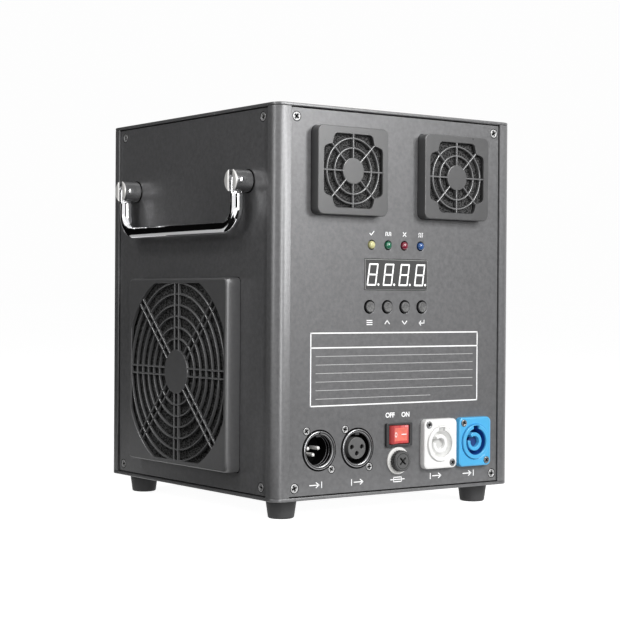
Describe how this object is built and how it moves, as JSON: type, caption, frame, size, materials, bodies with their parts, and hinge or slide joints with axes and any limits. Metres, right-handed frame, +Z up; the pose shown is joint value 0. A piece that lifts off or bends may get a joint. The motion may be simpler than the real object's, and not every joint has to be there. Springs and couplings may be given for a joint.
{
  "type": "cold spark machine",
  "caption": "Boxy stage spark fountain on rubber feet, with drop handles, intake and exhaust fans, a control panel, a nozzle and a hopper with a screw feed.",
  "frame": {"origin": "on the ground under the middle of the machine's whole extent", "axes": "+Z up, the control panel faces -Y, the intake fan side faces -X"},
  "size_m": [0.214, 0.2082, 0.2605],
  "materials": {
    "coat": "fine texture powder coat",
    "chrome": "polished",
    "rubber": "matte",
    "foam": "open cell foam",
    "black_plastic": "satin",
    "grey_plastic": "satin",
    "white_plastic": "gloss",
    "blue_plastic": "gloss",
    "red_plastic": "translucent gloss",
    "cream_lens": "diffuse lens",
    "green_lens": "diffuse lens",
    "red_lens": "diffuse lens",
    "blue_lens": "diffuse lens",
    "circuit_board": "solder mask",
    "steel": "brushed",
    "nickel": "bright nickel",
    "copper": "wound copper",
    "aluminium": "perforated sheet"
  },
  "bodies": {
    "housing": {"bottom_plate": "coat", "top_plate": "coat", "corner_post_control_left": "coat", "corner_post_control_right": "coat", "corner_post_front_left": "coat", "corner_post_front_right": "coat", "left_panel": "coat", "right_panel": "coat", "front_panel": "coat", "control_panel": "coat", "foot_control_left": "rubber", "foot_control_right": "rubber", "foot_front_left": "rubber", "foot_front_right": "rubber", "intake_cover": "coat", "intake_filter": "foam", "intake_fan_frame": "black_plastic", "exhaust_cover_a": "coat", "exhaust_cover_b": "coat", "exhaust_filter_a": "foam", "exhaust_filter_b": "foam", "exhaust_fan_frame_a": "black_plastic", "exhaust_fan_frame_b": "black_plastic", "handle_post_left_near": "chrome", "handle_post_left_far": "chrome", "handle_post_right_near": "chrome", "handle_post_right_far": "chrome", "display_module": "grey_plastic", "control_board": "circuit_board", "lamp_cream": "cream_lens", "lamp_green": "green_lens", "lamp_red": "red_lens", "lamp_blue": "blue_lens", "data_inlet": "black_plastic", "data_outlet": "black_plastic", "power_outlet": "white_plastic", "power_inlet": "blue_plastic", "power_switch_body": "black_plastic", "fuse_holder": "nickel", "spark_nozzle": "steel", "granule_hopper": "steel", "feed_motor": "steel", "spark_chamber": "steel", "induction_coil": "copper", "impeller_motor": "steel", "power_supply": "aluminium"},
    "intake_rotor": {"intake_fan_rotor": "black_plastic"},
    "exhaust_rotor_a": {"exhaust_fan_rotor_a": "black_plastic"},
    "exhaust_rotor_b": {"exhaust_fan_rotor_b": "black_plastic"},
    "left_bail": {"handle_bail_left": "chrome"},
    "right_bail": {"handle_bail_right": "chrome"},
    "button_one": {"button_1": "black_plastic"},
    "button_two": {"button_2": "black_plastic"},
    "button_three": {"button_3": "black_plastic"},
    "button_four": {"button_4": "black_plastic"},
    "rocker": {"power_rocker": "red_plastic"},
    "cap": {"fuse_cap": "black_plastic"},
    "lid": {"hopper_lid": "coat"},
    "screw": {"feed_screw": "steel"},
    "wheel": {"impeller": "steel"}
  },
  "joints": [
    {"name": "intake_rotor_spin", "type": "hinge", "parent": "housing", "child": "intake_rotor", "pos_m": [-0.08, 0.00305, 0.0866], "axis": [1, 0, 0], "continuous": true},
    {"name": "exhaust_rotor_a_spin", "type": "hinge", "parent": "housing", "child": "exhaust_rotor_a", "pos_m": [-0.042, -0.088, 0.2125], "axis": [0, 1, 0], "continuous": true},
    {"name": "exhaust_rotor_b_spin", "type": "hinge", "parent": "housing", "child": "exhaust_rotor_b", "pos_m": [0.042, -0.088, 0.2125], "axis": [0, 1, 0], "continuous": true},
    {"name": "left_bail_swing", "type": "hinge", "parent": "housing", "child": "left_bail", "pos_m": [-0.102, 0.00305, 0.206], "axis": [0, 1, 0], "range_deg": [0, 180]},
    {"name": "right_bail_swing", "type": "hinge", "parent": "housing", "child": "right_bail", "pos_m": [0.102, 0.00305, 0.206], "axis": [0, -1, 0], "range_deg": [0, 180]},
    {"name": "button_one_press", "type": "slide", "parent": "housing", "child": "button_one", "axis": [0, 1, 0], "range_m": [0, 0.0006], "stiffness_N_per_m": 1500},
    {"name": "button_two_press", "type": "slide", "parent": "housing", "child": "button_two", "axis": [0, 1, 0], "range_m": [0, 0.0006], "stiffness_N_per_m": 1500},
    {"name": "button_three_press", "type": "slide", "parent": "housing", "child": "button_three", "axis": [0, 1, 0], "range_m": [0, 0.0006], "stiffness_N_per_m": 1500},
    {"name": "button_four_press", "type": "slide", "parent": "housing", "child": "button_four", "axis": [0, 1, 0], "range_m": [0, 0.0006], "stiffness_N_per_m": 1500},
    {"name": "rocker_tilt", "type": "hinge", "parent": "housing", "child": "rocker", "pos_m": [0, -0.09555, 0.0488], "axis": [0, 0, 1], "range_deg": [0, 20]},
    {"name": "fuse_cap_turn", "type": "hinge", "parent": "housing", "child": "cap", "pos_m": [0, -0.09675, 0.0323], "axis": [0, -1, 0], "range_deg": [0, 60]},
    {"name": "lid_swing", "type": "hinge", "parent": "housing", "child": "lid", "pos_m": [0, 0.09065, 0.2552], "axis": [-1, 0, 0], "range_deg": [0, 110]},
    {"name": "feed_screw_spin", "type": "hinge", "parent": "housing", "child": "screw", "pos_m": [0, 0.04705, 0.188], "axis": [0, 1, 0], "continuous": true},
    {"name": "impeller_spin", "type": "hinge", "parent": "housing", "child": "wheel", "pos_m": [0, 0.00305, 0.072], "axis": [0, 1, 0], "continuous": true}
  ]
}
